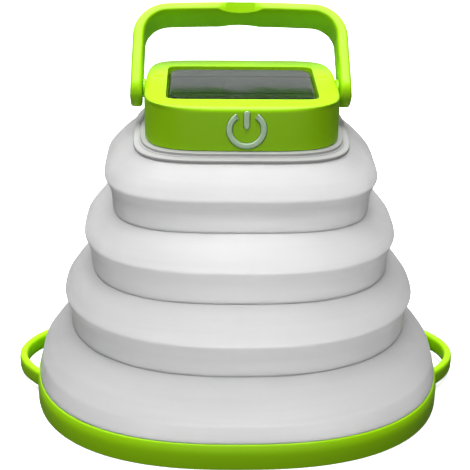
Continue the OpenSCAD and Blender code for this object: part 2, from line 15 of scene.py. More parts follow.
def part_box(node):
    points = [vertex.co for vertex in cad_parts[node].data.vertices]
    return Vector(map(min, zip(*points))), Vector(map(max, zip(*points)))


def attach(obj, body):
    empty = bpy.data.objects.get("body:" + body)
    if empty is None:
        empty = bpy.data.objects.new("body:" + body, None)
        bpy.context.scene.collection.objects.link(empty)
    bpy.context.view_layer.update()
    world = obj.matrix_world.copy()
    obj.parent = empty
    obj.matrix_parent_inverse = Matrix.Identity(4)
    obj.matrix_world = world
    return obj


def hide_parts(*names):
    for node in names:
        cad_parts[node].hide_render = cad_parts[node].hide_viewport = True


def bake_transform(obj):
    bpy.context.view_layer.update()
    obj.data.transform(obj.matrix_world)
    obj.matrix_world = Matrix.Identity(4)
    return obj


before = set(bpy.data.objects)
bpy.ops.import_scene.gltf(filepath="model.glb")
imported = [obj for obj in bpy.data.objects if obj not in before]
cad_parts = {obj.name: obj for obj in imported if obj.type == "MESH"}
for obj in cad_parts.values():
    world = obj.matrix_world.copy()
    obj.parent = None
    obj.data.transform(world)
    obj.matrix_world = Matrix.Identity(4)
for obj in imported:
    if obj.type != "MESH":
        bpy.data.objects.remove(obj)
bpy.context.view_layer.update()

MM = 0.001
scene = bpy.context.scene

# %% [markdown]
# ## Driving sizes
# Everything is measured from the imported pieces: the box of a node says where a ring, a lip or a wall lies.
# A few sizes that no box shows, such as a wall's thickness, are named here once.

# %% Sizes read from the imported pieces
ring_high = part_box("base_ring")[1]
pan_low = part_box("base_pan")[0]
head_low, head_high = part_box("head_shell")
key_low, key_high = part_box("power_key")
collar_low, collar_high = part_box("shade_collar")
tiers = {k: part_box(f"shade_tier_{k}") for k in (1, 2, 3, 4)}

SILICONE = 1.5 * MM
LOOP_REACH = 7.0 * MM
BASE_A = ring_high.x - LOOP_REACH
BASE_B = ring_high.y
BASE_SQUARE = 2.46
HEAD_SQUARE = 4.2
HEAD_WALL = 1.8 * MM
PIVOT = Vector((0, 4.5 * MM, head_high.z - 3.5 * MM))
LEAN = math.radians(46)
print("base half plan", round(BASE_A, 4), round(BASE_B, 4), "head top", round(head_high.z, 4))

# %% [markdown]
# ## One tree for every loft
# A loft is a skin over a row of sections. Here a section is a rounded figure with two half axes and a
# squareness: 2 gives an ellipse, 4 a soft box, 16 a box with small round corners. The sections' centres are
# the vertices of a spine mesh, and the half axes and the squareness ride on them as attributes. The tree
# lays a grid over the row, samples the spine by row and bends each line of the grid round its section.

# %% A small writer for node trees
class TreeWriter:
    """Adds nodes to a tree and links them, so that a formula reads from the inside out."""

    def __init__(self, tree):
        self.tree = tree

    def add(self, kind, inputs=None, **settings):
        node = self.tree.nodes.new(kind)
        for key, value in settings.items():
            setattr(node, key, value)
        for key, value in (inputs or {}).items():
            self.feed(node.inputs[key], value)
        return node

    def feed(self, socket, value):
        if isinstance(value, bpy.types.NodeSocket):
            self.tree.links.new(value, socket)
        else:
            socket.default_value = value

    def math(self, operation, a, b=None):
        inputs = {0: a} if b is None else {0: a, 1: b}
        return self.add("ShaderNodeMath", inputs, operation=operation).outputs[0]

    def scaled(self, vector, factor):
        node = self.add("ShaderNodeVectorMath", {0: vector, "Scale": factor}, operation="SCALE")
        return node.outputs[0]

    def summed(self, a, b):
        return self.add("ShaderNodeVectorMath", {0: a, 1: b}, operation="ADD").outputs[0]


def new_tree(name, sockets):
    tree = bpy.data.node_groups.new(name, "GeometryNodeTree")
    for label, kind in sockets:
        tree.interface.new_socket(name=label, in_out="INPUT", socket_type=kind)
    tree.interface.new_socket(name="Geometry", in_out="OUTPUT", socket_type="NodeSocketGeometry")
    return tree, TreeWriter(tree)


# %% The loft tree
def make_loft_tree():
    tree, w = new_tree("loft over sections", [
        ("Spine", "NodeSocketGeometry"), ("Points Around", "NodeSocketInt"),
        ("Closed Along", "NodeSocketInt"), ("Material", "NodeSocketMaterial")])
    given = w.add("NodeGroupInput").outputs
    count = w.add("GeometryNodeAttributeDomainSize", {0: given["Spine"]}).outputs["Point Count"]
    around = w.math("ADD", given["Points Around"], 1.0)
    rows = w.math("ADD", count, given["Closed Along"])
    grid = w.add("GeometryNodeMeshGrid", {"Vertices X": rows, "Vertices Y": around})
    index = w.add("GeometryNodeInputIndex").outputs[0]
    row = w.math("FLOOR", w.math("DIVIDE", w.math("ADD", index, 0.5), around))
    column = w.math("SUBTRACT", index, w.math("MULTIPLY", row, around))
    place = w.math("MODULO", row, count)

    def sampled(kind, field):
        node = w.add("GeometryNodeSampleIndex", data_type=kind, domain="POINT")
        w.feed(node.inputs["Geometry"], given["Spine"])
        w.feed(node.inputs["Value"], field)
        w.feed(node.inputs["Index"], place)
        return node.outputs[0]

    def attribute(kind, name):
        return w.add("GeometryNodeInputNamedAttribute", {"Name": name}, data_type=kind).outputs[0]

    centre = sampled("FLOAT_VECTOR", w.add("GeometryNodeInputPosition").outputs[0])
    across = sampled("FLOAT_VECTOR", attribute("FLOAT_VECTOR", "across"))
    along = sampled("FLOAT_VECTOR", attribute("FLOAT_VECTOR", "along"))
    square = sampled("FLOAT", attribute("FLOAT", "square"))
    angle = w.math("MULTIPLY", w.math("DIVIDE", column, given["Points Around"]), math.tau)
    cosine = w.math("COSINE", angle)
    sine = w.math("SINE", angle)
    total = w.math("ADD", w.math("POWER", w.math("ABSOLUTE", cosine), square),
                   w.math("POWER", w.math("ABSOLUTE", sine), square))
    radius = w.math("POWER", total, w.math("DIVIDE", -1.0, square))
    bent = w.summed(centre, w.summed(w.scaled(across, w.math("MULTIPLY", radius, cosine)),
                                     w.scaled(along, w.math("MULTIPLY", radius, sine))))
    skin = w.add("GeometryNodeSetPosition", {"Geometry": grid.outputs["Mesh"], "Position": bent})
    joined = w.add("GeometryNodeMergeByDistance", {"Geometry": skin.outputs[0], "Distance": 1e-6})
    real = w.add("GeometryNodeRealizeInstances", {"Geometry": joined.outputs[0]})
    painted = w.add("GeometryNodeSetMaterial",
                    {"Geometry": real.outputs[0], "Material": given["Material"]})
    w.add("NodeGroupOutput", {0: painted.outputs[0]})
    return tree


LOFT_TREE = make_loft_tree()
print("loft tree with", len(LOFT_TREE.nodes), "nodes")


# %% Turning a tree's result into a plain piece
def run_tree(source, tree, settings, name):
    """Gives source the tree, sets its inputs by identifier, and returns the result as a plain mesh object."""
    modifier = source.modifiers.new("nodes", "NODES")
    modifier.node_group = tree
    for item in tree.interface.items_tree:
        if item.item_type == "SOCKET" and item.in_out == "INPUT" and item.name in settings:
            modifier[item.identifier] = settings[item.name]
    graph = bpy.context.evaluated_depsgraph_get()
    mesh = bpy.data.meshes.new_from_object(source.evaluated_get(graph), depsgraph=graph)
    source.modifiers.remove(modifier)
    bpy.data.objects.remove(source)
    mesh.name = name
    piece = bpy.data.objects.new(name, mesh)
    scene.collection.objects.link(piece)
    return piece


def tidy_mesh(piece, sharp=35):
    """Turns the faces outwards, smooths them and keeps the edges steeper than sharp degrees crisp."""
    work = bmesh.new()
    work.from_mesh(piece.data)
    bmesh.ops.recalc_face_normals(work, faces=work.faces)
    work.to_mesh(piece.data)
    work.free()
    piece.data.shade_smooth()
    piece.data.set_sharp_from_angle(angle=math.radians(sharp))
    return piece


def section(centre, across, along, square=2.0):
    return (Vector(centre), Vector(across), Vector(along), square)


def loft(name, sections, material, around=64, closed=False, sharp=35):
    """A skin over sections. Closed joins the last section to the first, as in a tube wall."""
    mesh = bpy.data.meshes.new(name + " spine")
    mesh.from_pydata([s[0] for s in sections], [], [])
    for label, kind, at in (("across", "FLOAT_VECTOR", 1), ("along", "FLOAT_VECTOR", 2),
                            ("square", "FLOAT", 3)):
        layer = mesh.attributes.new(label, kind, "POINT")
        for item, values in zip(layer.data, sections):
            if kind == "FLOAT":
                item.value = values[at]
            else:
                item.vector = values[at]
    spine = bpy.data.objects.new(name + " spine", mesh)
    scene.collection.objects.link(spine)
    settings = {"Points Around": around, "Closed Along": int(closed), "Material": material}
    return tidy_mesh(run_tree(spine, LOFT_TREE, settings, name), sharp)


def level(a, b, z, square=2.0, x=0.0, y=0.0):
    """A level section with half width a and half depth b."""
    return section((x, y, z), (a, 0, 0), (0, b, 0), square)


def joined(name, pieces):
    """Makes one object of several."""
    work = bmesh.new()
    for piece in pieces:
        work.from_mesh(piece.data)
    mesh = bpy.data.meshes.new(name)
    work.to_mesh(mesh)
    work.free()
    for material in pieces[0].data.materials:
        mesh.materials.append(material)
    for piece in pieces:
        bpy.data.objects.remove(piece)
    result = bpy.data.objects.new(name, mesh)
    scene.collection.objects.link(result)
    return result


def carved(piece, cutters, sharp=35):
    """Cuts each cutter out of piece and throws the cutters away."""
    for cutter in cutters:
        modifier = piece.modifiers.new("cut", "BOOLEAN")
        modifier.operation = "DIFFERENCE"
        modifier.solver = "EXACT"
        modifier.object = cutter
    graph = bpy.context.evaluated_depsgraph_get()
    mesh = bpy.data.meshes.new_from_object(piece.evaluated_get(graph), depsgraph=graph)
    piece.modifiers.clear()
    old = piece.data
    piece.data = mesh
    bpy.data.meshes.remove(old)
    mesh.name = piece.name
    for cutter in cutters:
        bpy.data.objects.remove(cutter)
    surface = next((material for material in mesh.materials if material), None)
    mesh.materials.clear()
    mesh.materials.append(surface)
    mesh.polygons.foreach_set("material_index", [0] * len(mesh.polygons))
    mesh.shade_smooth()
    mesh.set_sharp_from_angle(angle=math.radians(sharp))
    return piece


def report(piece):
    low = [min(v.co[i] for v in piece.data.vertices) for i in range(3)]
    high = [max(v.co[i] for v in piece.data.vertices) for i in range(3)]
    sizes = [round((h - l) / MM, 1) for l, h in zip(low, high)]
    print(piece.name, "faces", len(piece.data.polygons), "size mm", sizes)


# %% [markdown]
# ## Finishes
# Each finish is one Principled shader. The colour that is the same all over sits on the shader's own socket,
# and noise in object coordinates drives what varies: a faint mottle in the roughness, and a bump at the
# scale of a moulded surface's grain.

# %% A base for every finish
def finish(name, color, roughness, grain=0.0, grain_size=0.4, mottle=0.06, tint=0.0,
           stretch=(1.0, 1.0, 1.0), **sockets):
    """A Principled material. grain is the bump's height in mm, tint how much the colour varies.

    stretch squeezes the tint's pattern along each axis, so that it can lie in level streaks.
    """
    material = bpy.data.materials.new(name)
    material.use_nodes = True
    tree = material.node_tree
    w = TreeWriter(tree)
    shader = tree.nodes["Principled BSDF"]
    shader.inputs["Base Color"].default_value = (*color, 1.0)
    shader.inputs["Roughness"].default_value = roughness
    for label, value in sockets.items():
        shader.inputs[label.replace("_", " ")].default_value = value
    place = w.add("ShaderNodeTexCoord").outputs["Object"]
    if mottle:
        cloud = w.add("ShaderNodeTexNoise", {"Vector": place, "Scale": 120.0, "Detail": 4.0})
        spread = w.add("ShaderNodeMapRange", {0: cloud.outputs["Fac"], 1: 0.3, 2: 0.7,
                                              3: roughness - mottle, 4: roughness + mottle})
        w.feed(shader.inputs["Roughness"], spread.outputs[0])
    if tint:
        laid = w.add("ShaderNodeVectorMath", {0: place, 1: stretch}, operation="MULTIPLY").outputs[0]
        drift = w.add("ShaderNodeTexNoise", {"Vector": laid, "Scale": 35.0, "Detail": 3.0})
        dark = tuple(c * (1 - tint) for c in color)
        light = tuple(min(1.0, c * (1 + tint)) for c in color)
        blend = w.add("ShaderNodeMix", data_type="RGBA")
        w.feed(blend.inputs[0], drift.outputs["Fac"])
        w.feed(blend.inputs[6], (*dark, 1.0))
        w.feed(blend.inputs[7], (*light, 1.0))
        w.feed(shader.inputs["Base Color"], blend.outputs[2])
    if grain:
        fine = w.add("ShaderNodeTexNoise", {"Vector": place, "Scale": 1000.0 / grain_size, "Detail": 2.0})
        bump = w.add("ShaderNodeBump", {"Strength": 0.5, "Distance": grain * MM,
                                        "Height": fine.outputs["Fac"]})
        w.feed(shader.inputs["Normal"], bump.outputs[0])
    return material


# %% The lantern's finishes
green_plastic = finish("lime moulded plastic", (0.345, 0.72, 0.003), 0.38, grain=0.012, grain_size=0.35,
                       tint=0.03, Specular_IOR_Level=0.22)
green_strap = finish("lime strap rubber", (0.355, 0.73, 0.003), 0.42, grain=0.02, grain_size=0.3, tint=0.04,
                     Specular_IOR_Level=0.2)
silicone = finish("frosted silicone", (0.355, 0.355, 0.356), 0.48, grain=0.01, grain_size=0.5,
                  tint=0.06, stretch=(0.5, 0.5, 12.0), Subsurface_Weight=1.0,
                  Subsurface_Radius=(1.0, 1.0, 1.0), Subsurface_Scale=0.008)
white_plastic = finish("white moulded plastic", (0.74, 0.74, 0.73), 0.36, grain=0.01, tint=0.01)
milky_plastic = finish("milky collar plastic", (0.40, 0.40, 0.395), 0.42, grain=0.01, tint=0.015)
frosted_plastic = finish("frosted diffuser", (0.88, 0.88, 0.86), 0.5, grain=0.015, tint=0.01,
                         Transmission_Weight=0.4)
key_silicone = finish("grey key rubber", (0.58, 0.80, 0.54), 0.42, grain=0.008, tint=0.04,
                      Subsurface_Weight=0.15, Subsurface_Scale=0.001)
bright_steel = finish("zinc plated steel", (0.62, 0.62, 0.62), 0.3, grain=0.01, tint=0.05, Metallic=1.0)
foil = finish("battery foil", (0.7, 0.7, 0.71), 0.38, grain=0.05, grain_size=2.0, tint=0.04, Metallic=1.0)
black_plastic = finish("black moulded parts", (0.025, 0.025, 0.027), 0.45, grain=0.01, tint=0.1)
black_foam = finish("dark foam", (0.03, 0.03, 0.03), 0.8, grain=0.15, grain_size=0.6, tint=0.15)
circuit_green = finish("circuit board", (0.015, 0.13, 0.055), 0.35, grain=0.02, grain_size=0.8, tint=0.2)
white_mask = finish("white circuit board", (0.82, 0.82, 0.8), 0.35, grain=0.01, tint=0.02)
dark_board = finish("solar board", (0.03, 0.045, 0.035), 0.4, grain=0.01, tint=0.15)
phosphor = finish("led phosphor", (0.85, 0.66, 0.12), 0.3, grain=0.01, tint=0.05)
red_lead = finish("lead insulation", (0.5, 0.02, 0.02), 0.4, grain=0.01, tint=0.08)
tinned = finish("tinned ribbon", (0.75, 0.75, 0.74), 0.35, grain=0.01, tint=0.04, Metallic=1.0)
epoxy = finish("clear epoxy", (0.35, 0.42, 0.37), 0.12, mottle=0.03, Transmission_Weight=1.0, IOR=1.5)
print("finishes", len(bpy.data.materials))


# %% The silicon cells carry fine printed fingers
def make_cell_finish():
    material = finish("solar silicon", (0.055, 0.072, 0.062), 0.3, tint=0.04)
    w = TreeWriter(material.node_tree)
    shader = material.node_tree.nodes["Principled BSDF"]
    place = w.add("ShaderNodeTexCoord").outputs["Object"]
    fingers = w.add("ShaderNodeTexWave", {"Vector": place, "Scale": 320.0, "Distortion": 0.0},
                    wave_type="BANDS", bands_direction="Y")
    line = w.add("ShaderNodeMapRange", {0: fingers.outputs["Fac"], 1: 0.9, 2: 1.0, 3: 0.0, 4: 0.2})
    body = shader.inputs["Base Color"].links[0].from_socket
    mix = w.add("ShaderNodeMix", data_type="RGBA")
    w.feed(mix.inputs[0], line.outputs[0])
    w.feed(mix.inputs[6], body)
    w.feed(mix.inputs[7], (0.35, 0.36, 0.35, 1.0))
    w.feed(shader.inputs["Base Color"], mix.outputs[2])
    return material


solar_silicon = make_cell_finish()

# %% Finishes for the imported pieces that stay
kept = {
    green_plastic: ["base_ring"],
    green_strap: ["port_cover", "handle_washers"],
    white_plastic: ["base_pan", "neck_clamp", "head_tub"],
    frosted_plastic: ["led_diffuser"],
    bright_steel: ["head_screws", "board_screws", "usb_socket"],
    dark_board: ["solar_board"],
    solar_silicon: ["solar_cells"],
    tinned: ["solar_busbars"],
    black_plastic: ["key_switch", "board_chips"],
    black_foam: ["battery_pad"],
    circuit_green: ["control_board"],
    foil: ["battery_cell"],
    white_mask: ["led_board"],
    phosphor: ["led_chips"],
    red_lead: ["battery_leads", "solar_leads", "led_leads"],
}
for material, names in kept.items():
    for name in names:
        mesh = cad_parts[name].data
        mesh.materials.clear()
        mesh.materials.append(material)
print("packed pieces with a finish", sum(len(names) for names in kept.values()))

# %% [markdown]
# ## The shade
# The real shade is one silicone moulding. Its stiff tiers stand almost upright and its folds slope, and when
# the lantern is pushed flat each fold turns inside out. The shade is made here in four pieces, cut at the
# crisp inner creases where a seam can't show.
# Each piece is a loft: a tier's wall, a rounded ridge, and the fold up to the next tier's foot.

# %% Rounding a profile
def rounded(corners, radii, steps=6):
    """Rounds each inner corner of a list of points of any dimension with a smooth arc."""
    most = 0.48  # of a side, so that two arcs on the same side don't meet
    points = [corners[0]]
    for before, corner, after, radius in zip(corners, corners[1:], corners[2:], radii):
        if not radius:
            points.append(corner)
            continue
        back = [b - c for b, c in zip(before, corner)]
        ahead = [a - c for a, c in zip(after, corner)]
        reach_back = min(most, radius / math.hypot(back[0], back[-1]))
        reach_ahead = min(most, radius / math.hypot(ahead[0], ahead[-1]))
        for i in range(steps + 1):
            t = i / steps
            points.append([c + (1 - t) ** 2 * reach_back * b + t * t * reach_ahead * a
                           for c, b, a in zip(corner, back, ahead)])
    points.append(corners[-1])
    return points


# %% Corners of the shade's profile
PROFILE_STEPS = 8
TIER_UNDERCUT = 1.7 * MM
TUCK_DROP = 4.6 * MM
TUCK_IN = 1.35 * MM
RIDGE_LIP = 1.1 * MM
RIDGE_ROUND = 0.6 * MM
RIDGE_PROUD = {1: 0.6 * MM, 2: 0.3 * MM, 3: 0.1 * MM, 4: 0.1 * MM}
TUCK_ROUND = 2.4 * MM
FOLD_ROUND = 9 * MM
CROWN_SHARE = 0.42
BULGE = 0.35 * MM
RIM_INSET = 2.1 * MM
TIER_SQUARE = {0: HEAD_SQUARE, 1: 3.5, 2: 2.75, 3: 2.36, 4: 2.32}
NECK = [collar_high.x - 0.1 * MM, collar_high.y - 0.1 * MM, HEAD_SQUARE, collar_low.z]


def ridge(k):
    high = tiers[k][1]
    if k == 4:
        return [BASE_A - RIM_INSET, BASE_B - RIM_INSET + 0.1 * MM, TIER_SQUARE[4], high.z - RIDGE_LIP]
    return [high.x, high.y, TIER_SQUARE[k], high.z - RIDGE_LIP]


def foot(k):
    if k == 0:
        return NECK
    a, b, square, _ = ridge(k)
    return [a - TIER_UNDERCUT, b - TIER_UNDERCUT, square, tiers[k][0].z]


def ridge_corner(k):
    a, b, square, z = ridge(k)
    return [a + RIDGE_PROUD[k], b + RIDGE_PROUD[k], square, z - 0.3 * MM]


def tuck(k):
    a, b, square, z = ridge(k)
    return [a - TUCK_IN, b - TUCK_IN, square, z - TUCK_DROP]


def crown(k):
    """A point above the middle of the fold, which makes the fold round out."""
    low, high = ridge_corner(k), foot(k - 1)
    a, b, square, z = [l + CROWN_SHARE * (h - l) for l, h in zip(low, high)]
    return [a + BULGE, b + BULGE, square, z + BULGE]


def shade_profile(k):
    if k < 4:
        return rounded([foot(k), tuck(k), ridge_corner(k), crown(k), foot(k - 1)],
                       [TUCK_ROUND, RIDGE_ROUND, FOLD_ROUND], PROFILE_STEPS)
    seam = ring_high.z
    skirt = 2.6 * MM
    seat = 0.8 * MM
    corners = [[BASE_A - skirt, BASE_B - skirt, BASE_SQUARE, pan_low.z + 0.1 * MM],
               [BASE_A - skirt, BASE_B - skirt, BASE_SQUARE, seam + 0.02 * MM],
               [BASE_A - seat, BASE_B - seat, BASE_SQUARE, seam + 0.02 * MM],
               ridge_corner(4), crown(4), foot(3)]
    return rounded(corners, [0, 0.5 * MM, RIDGE_ROUND, FOLD_ROUND], PROFILE_STEPS)


# %% Loft the four pieces of the shade
def wall(profile, thick):
    """The outer profile up, and the same profile moved inwards on the way down."""
    inner = [[a - thick, b - thick, square, z] for a, b, square, z in reversed(profile)]
    return [level(a, b, z, square) for a, b, square, z in profile + inner]


def dense(profile, step):
    """Adds points to the long stretches, so that a fold's rows lie at most step apart."""
    points = [profile[0]]
    for start, end in zip(profile, profile[1:]):
        count = max(1, math.ceil(math.hypot(end[0] - start[0], end[3] - start[3]) / step))
        points += [[s + (e - s) * i / count for s, e in zip(start, end)] for i in range(1, count + 1)]
    return points


ROW_PITCH = 0.8 * MM
shade_pieces = []
for k in (1, 2, 3, 4):
    profile = dense(shade_profile(k), ROW_PITCH)
    piece = loft(f"shade_pleat_{k}", wall(profile, SILICONE), silicone, around=256, closed=True, sharp=50)
    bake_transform(piece)
    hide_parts(f"shade_tier_{k}", f"shade_fold_{k}")
    shade_pieces.append(piece)
    report(piece)

# %% [markdown]
# ## The base ring
# The ring is one green moulding with a flat inner flange underneath and a bow of strap on each side. The
# ring is a loft that closes on itself, and each bow is a loft along its own centreline, with its ends sunk
# in the ring's wall.

# %% Ring and side loops
RING_WALL = 2.5 * MM
FLANGE = 11.5 * MM
FLANGE_T = 2.0 * MM
RING_TOP_INSET = 0.7 * MM
LOOP_T = 2.6 * MM
LOOP_H = 5.5 * MM
LOOP_HALF = 17 * MM
LOOP_Y = 4 * MM
LOOP_SUNK = 4 * MM
LOOP_STEPS = 40


def inset(amount, z):
    return [BASE_A - amount, BASE_B - amount, BASE_SQUARE, z]


def make_ring():
    top = ring_high.z
    corners = [inset(RING_WALL + 3 * MM, 0), inset(0, 0), inset(0, top - 2.4 * MM),
               inset(RING_TOP_INSET, top), inset(RING_WALL, top), inset(RING_WALL, FLANGE_T),
               inset(FLANGE, FLANGE_T), inset(FLANGE, 0)]
    profile = rounded(corners, [0.45 * MM, 1.6 * MM, 0.45 * MM, 0.2 * MM, 0.3 * MM, 0.4 * MM], 4)
    return loft("base_ring_shell", [level(a, b, z, square) for a, b, square, z in profile],
                green_plastic, around=256, closed=True)


def make_bow(side):
    """One side loop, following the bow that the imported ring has."""
    sections = []
    reach = LOOP_REACH - LOOP_T / 2 + LOOP_SUNK
    half = LOOP_HALF - LOOP_T / 2
    for i in range(LOOP_STEPS + 1):
        t = -math.pi / 2 + math.pi * i / LOOP_STEPS
        x = BASE_A - LOOP_SUNK + reach * math.cos(t) ** 2
        y = LOOP_Y + half * math.sin(t)
        outward = Vector((half, 2 * reach * math.sin(t), 0)).normalized()
        middle = (side * x, y, ring_high.z - 0.4 * MM - LOOP_H / 2)
        sections.append(section(middle, (side * outward.x * LOOP_T / 2, outward.y * LOOP_T / 2, 0),
                                (0, 0, LOOP_H / 2), 4.0))
    ends = [section(s[0], s[1] * 0, s[2] * 0) for s in (sections[0], sections[-1])]
    return loft("bow", [ends[0]] + sections + [ends[1]], green_plastic, around=32)


base_ring_shell = joined("base_ring_shell", [make_ring(), make_bow(-1), make_bow(1)])
tidy_mesh(base_ring_shell, 40)
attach(base_ring_shell, "base")
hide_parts("base_ring")
report(base_ring_shell)

# %% [markdown]
# ## The neck collar
# A white ring with two lips closes the top of the shade. It is one more closed loft, with small round edges
# that catch the light as two bright lines under the head.

# %% Collar
def make_collar():
    low, high = collar_low.z, collar_high.z
    lip = 1.2 * MM
    neck_a, neck_b = collar_high.x, collar_high.y
    head_a, head_b = head_high.x + 1.3 * MM, head_high.y + 1.3 * MM
    inner_a, inner_b = head_high.x - 1.9 * MM, head_high.y - 1.9 * MM
    groove = 1.6 * MM
    corners = [[inner_a, inner_b, low], [neck_a, neck_b, low], [neck_a, neck_b, low + lip],
               [neck_a - groove, neck_b - groove, low + lip + 0.15 * MM],
               [neck_a - groove, neck_b - groove, high - lip],
               [head_a, head_b, high - lip + 0.1 * MM], [head_a, head_b, high - 0.2 * MM],
               [inner_a, inner_b, high]]
    profile = rounded(corners, [0.45 * MM, 0.45 * MM, 0.2 * MM, 0.2 * MM, 0.35 * MM, 0.35 * MM], 4)
    return loft("neck_collar", [level(a, b, z, HEAD_SQUARE) for a, b, z in profile],
                milky_plastic, around=192, closed=True, sharp=45)


neck_collar = make_collar()
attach(neck_collar, "head")
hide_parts("shade_collar")
report(neck_collar)

# %% [markdown]
# ## The head shell
# The shell is a soft box with a sunk pocket for the solar panel. One chain of level sections describes it:
# from the middle of the pocket's floor, out and up the pocket's wall, over the rounded top edge, down the
# outside, and back up inside to the middle again. The power symbol is then cut through the front wall as
# real slots, and the openings for the handle's studs and the charging socket are cut too.

# %% A stroke for the power symbol
KEY_X = 0.9 * MM
KEY_Z = head_low.z + 6.4 * MM
KEY_R = 5.7 * MM
KEY_STROKE = 1.65 * MM
KEY_OPEN = math.radians(33)
CAP_STEPS = 6
ARC_STEPS = 48


def stroke(name, path, width, y_back, y_front, square):
    """A bar that follows a path of (x, z, sideways x, sideways z), with round ends."""
    reach = width / 2

    def placed(x, z, sx, sz, share):
        middle = (x, (y_back + y_front) / 2, z)
        half = reach * share
        return section(middle, (sx * half, 0, sz * half), (0, (y_back - y_front) / 2, 0), square)

    ends = []
    for (x, z, sx, sz), sign in ((path[0], -1), (path[-1], 1)):
        cap = []
        for i in range(CAP_STEPS + 1):
            t = math.pi / 2 * i / CAP_STEPS
            ahead = sign * reach * math.sin(t)
            cap.append(placed(x + ahead * -sz, z + ahead * sx, sx, sz, max(math.cos(t), 0.02)))
        tip = cap[-1]
        cap.append(section(tip[0], tip[1] * 0, tip[2] * 0))
        ends.append(cap)
    body = [placed(*p, 1.0) for p in path[1:-1]]
    return loft(name, ends[0][::-1] + body + ends[1], key_silicone, around=32, sharp=60)


def symbol_strokes(grow, y_back, y_front, square):
    """The open ring and the bar of the power symbol, each stroke grown by a clearance on both sides."""
    middle_r = KEY_R - KEY_STROKE / 2
    arc = []
    for i in range(ARC_STEPS + 1):
        t = KEY_OPEN + (math.tau - 2 * KEY_OPEN) * i / ARC_STEPS
        arc.append((KEY_X + middle_r * math.sin(t), KEY_Z + middle_r * math.cos(t),
                    math.sin(t), math.cos(t)))
    low = KEY_Z + 0.3 * MM + KEY_STROKE / 2
    high = KEY_Z + KEY_R - KEY_STROKE / 2 - 0.2 * MM
    bar = [(KEY_X, low + (high - low) * i / 4, 1.0, 0.0) for i in range(5)]
    width = KEY_STROKE + 2 * grow
    return [stroke("ring stroke", arc, width, y_back, y_front, square),
            stroke("bar stroke", bar, width, y_back, y_front, square)]


# %% Head shell
POCKET_A = 22 * MM
POCKET_B = 15.9 * MM
POCKET_SQUARE = 16.0
COVER_SQUARE = 12.0
POCKET_Z = head_high.z - 3.7 * MM
HEAD_ROUND = 1.8 * MM
MARK_X = 24.6 * MM
STUD_R = 1.8 * MM
STUD_BORE_R = 1.85 * MM
STUD_END_X = 25.3 * MM
MIDPOINT = 0.002 * MM  # half a width too small to see, which closes a skin at its middle


def box_cutter(low, high):
    """A box between two corners, with its upright edges a little round."""
    centre = (Vector(low) + Vector(high)) / 2
    half = (Vector(high) - Vector(low)) / 2
    flat = [level(half.x, half.y, z, 12.0, centre.x, centre.y) for z in (low[2], high[2])]
    caps = [level(0, 0, z, 12.0, centre.x, centre.y) for z in (low[2], high[2])]
    return loft("cutter", [caps[0]] + flat + [caps[1]], None, around=48)


def dimple_cutter(x, y, z, half, depth):
    """A ball that dips depth into the level z over a round patch of half width half."""
    radius = (half * half + depth * depth) / (2 * depth)
    rows = []
    for degrees in range(-90, 91, 6):
        t = math.radians(degrees)
        wide = radius * max(math.cos(t), 0)
        rows.append(level(wide, wide, z - depth + radius + radius * math.sin(t), 2.0, x, y))
    return loft("cutter", rows, None, around=48)


def pin(name, start, end, radius, material, around=48, edge=0.0):
    """A round pin between two points, with an optional rounded rim at its end."""
    start, end = Vector(start), Vector(end)
    axis = (end - start).normalized()
    side = axis.orthogonal().normalized()
    other = axis.cross(side)
    rows = [(start, 0), (start, radius), (end - axis * edge, radius)]
    if edge:
        rows += [(end - axis * edge * (1 - math.sin(t)), radius - edge * (1 - math.cos(t)))
                 for t in (math.radians(a) for a in (22, 45, 67, 90))]
    rows.append((end, 0))
    return loft(name, [section(c, side * r, other * r) for c, r in rows], material, around)


def make_head_shell():
    a, b = head_high.x, head_high.y
    low, top = head_low.z, head_high.z
    ceiling = top - 1.5 * MM
    tray_a, tray_b = POCKET_A + 1.4 * MM, POCKET_B + 1.4 * MM
    under = POCKET_Z - 1.3 * MM
    in_a, in_b = a - HEAD_WALL, b - HEAD_WALL
    chain = [[MIDPOINT, MIDPOINT, POCKET_SQUARE, POCKET_Z],
             [POCKET_A, POCKET_B, POCKET_SQUARE, POCKET_Z],
             [POCKET_A, POCKET_B, POCKET_SQUARE, top],
             [a, b, HEAD_SQUARE, top],
             [a, b, HEAD_SQUARE, low],
             [in_a, in_b, HEAD_SQUARE, low],
             [in_a, in_b, HEAD_SQUARE, ceiling],
             [tray_a, tray_b, POCKET_SQUARE, ceiling],
             [tray_a, tray_b, POCKET_SQUARE, under],
             [MIDPOINT, MIDPOINT, POCKET_SQUARE, under]]
    radii = [0.3 * MM, 0.35 * MM, HEAD_ROUND, 0.3 * MM, 0.2 * MM, 0, 0, 0]
    profile = rounded(chain, radii, 8)
    shell = loft("head_case", [level(x, y, z, square) for x, y, square, z in profile],
                 green_plastic, around=256)
    socket_low, socket_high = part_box("usb_socket")
    margin = 0.85 * MM
    cutters = symbol_strokes(0.15 * MM, key_high.y + 1.2 * MM, -b - 2 * MM, 12.0)
    cutters.append(box_cutter((socket_low.x - margin, b - 4 * MM, socket_low.z - 0.4 * MM),
                              (socket_high.x + margin, b + 2 * MM, socket_high.z + 0.4 * MM)))
    for side in (-1, 1):
        cutters.append(pin("cutter", PIVOT + Vector((side * (a - 4 * MM), 0, 0)),
                           PIVOT + Vector((side * (a + 2 * MM), 0, 0)), STUD_BORE_R, None))
        cutters.append(dimple_cutter(side * MARK_X, PIVOT.y, top, 1.8 * MM, 0.25 * MM))
    return carved(shell, cutters)


head_case = make_head_shell()
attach(head_case, "head")
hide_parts("head_shell")
report(head_case)

# %% [markdown]
# ## The power key
# Behind the front wall lies a soft grey key plate. Its power symbol stands through the slots and a little
# proud of them, with rounded edges, and the thin gap around it reads as a dark outline.

